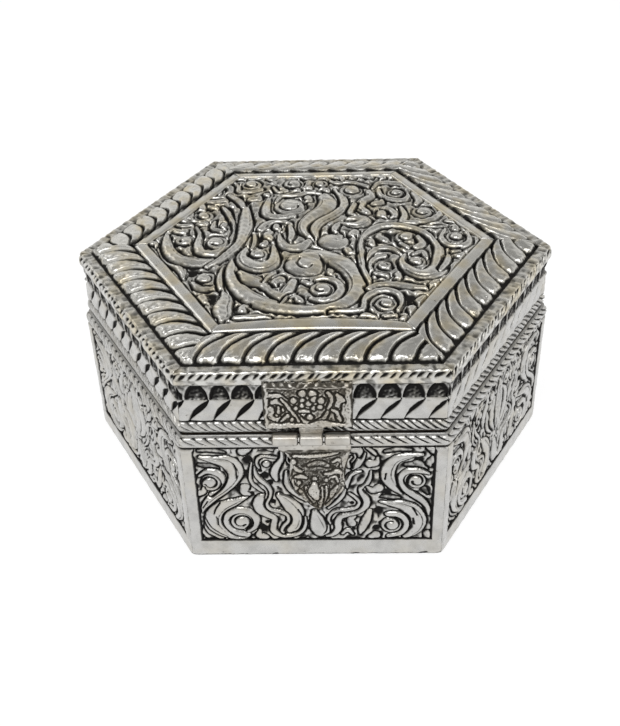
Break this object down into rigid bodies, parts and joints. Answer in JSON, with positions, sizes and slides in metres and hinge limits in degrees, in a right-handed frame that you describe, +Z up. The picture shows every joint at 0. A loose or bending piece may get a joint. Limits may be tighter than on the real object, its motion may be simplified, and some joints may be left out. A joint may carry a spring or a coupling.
{
  "type": "hexagonal hinged box",
  "caption": "Hexagonal wooden keepsake box clad in embossed oxidised white metal, with a gadroon-edged scrollwork lid on back hinges and a shield-shaped hasp in front.",
  "frame": {"origin": "middle of the felt's underside, on the surface the box stands on", "axes": "+Z up; -Y towards the front face with the clasp; +X to the right seen from the front, through a corner of the hexagon"},
  "size_m": [0.12, 0.1108, 0.0573],
  "materials": {
    "embossed_metal": "embossed white-metal sheet, polished on the high spots and oxidised black in the hollows",
    "cast_metal": "cast white metal, worn and oxidised",
    "hinge_metal": "plain plated steel",
    "wood": "plain unfinished core wood",
    "velvet": "short-pile velvet",
    "felt": "pressed felt"
  },
  "bodies": {
    "base": {"base_felt": "felt", "floor_board": "wood", "wall_board_front": "wood", "wall_board_front_right": "wood", "wall_board_back_right": "wood", "wall_board_back": "wood", "wall_board_back_left": "wood", "wall_board_front_left": "wood", "floor_lining": "velvet", "wall_lining": "velvet", "side_sheet_front": "embossed_metal", "side_sheet_front_right": "embossed_metal", "side_sheet_back_right": "embossed_metal", "side_sheet_back": "embossed_metal", "side_sheet_back_left": "embossed_metal", "side_sheet_front_left": "embossed_metal", "catch_stud": "hinge_metal", "hinge_lower_leaf_right": "hinge_metal", "hinge_pin_right": "hinge_metal", "hinge_lower_nail_right_1": "hinge_metal", "hinge_lower_nail_right_2": "hinge_metal", "hinge_lower_leaf_left": "hinge_metal", "hinge_pin_left": "hinge_metal", "hinge_lower_nail_left_1": "hinge_metal", "hinge_lower_nail_left_2": "hinge_metal"},
    "lid": {"lid_rail_front": "wood", "lid_rail_front_right": "wood", "lid_rail_back_right": "wood", "lid_rail_back": "wood", "lid_rail_back_left": "wood", "lid_rail_front_left": "wood", "lid_board": "wood", "lid_top_lining": "velvet", "lid_wall_lining": "velvet", "skirt_sheet_front": "embossed_metal", "skirt_sheet_front_right": "embossed_metal", "skirt_sheet_back_right": "embossed_metal", "skirt_sheet_back": "embossed_metal", "skirt_sheet_back_left": "embossed_metal", "skirt_sheet_front_left": "embossed_metal", "lid_cap": "embossed_metal", "frame_strip_front": "embossed_metal", "frame_strip_front_right": "embossed_metal", "frame_strip_back_right": "embossed_metal", "frame_strip_back": "embossed_metal", "frame_strip_back_left": "embossed_metal", "frame_strip_front_left": "embossed_metal", "scroll_panel": "embossed_metal", "hinge_upper_leaf_right": "hinge_metal", "hinge_upper_nail_right_1": "hinge_metal", "hinge_upper_nail_right_2": "hinge_metal", "hinge_upper_leaf_left": "hinge_metal", "hinge_upper_nail_left_1": "hinge_metal", "hinge_upper_nail_left_2": "hinge_metal", "clasp_plate": "cast_metal", "clasp_pin": "hinge_metal"},
    "hasp": {"hasp": "cast_metal"}
  },
  "joints": [
    {"name": "lid_open", "type": "hinge", "parent": "base", "child": "lid", "pos_m": [0, 0.0537, 0.03735], "axis": [-1, 0, 0], "range_deg": [0, 105]},
    {"name": "hasp_swing", "type": "hinge", "parent": "lid", "child": "hasp", "pos_m": [-0.0004, -0.0537, 0.03815], "axis": [-1, 0, 0], "range_deg": [0, 150]}
  ]
}
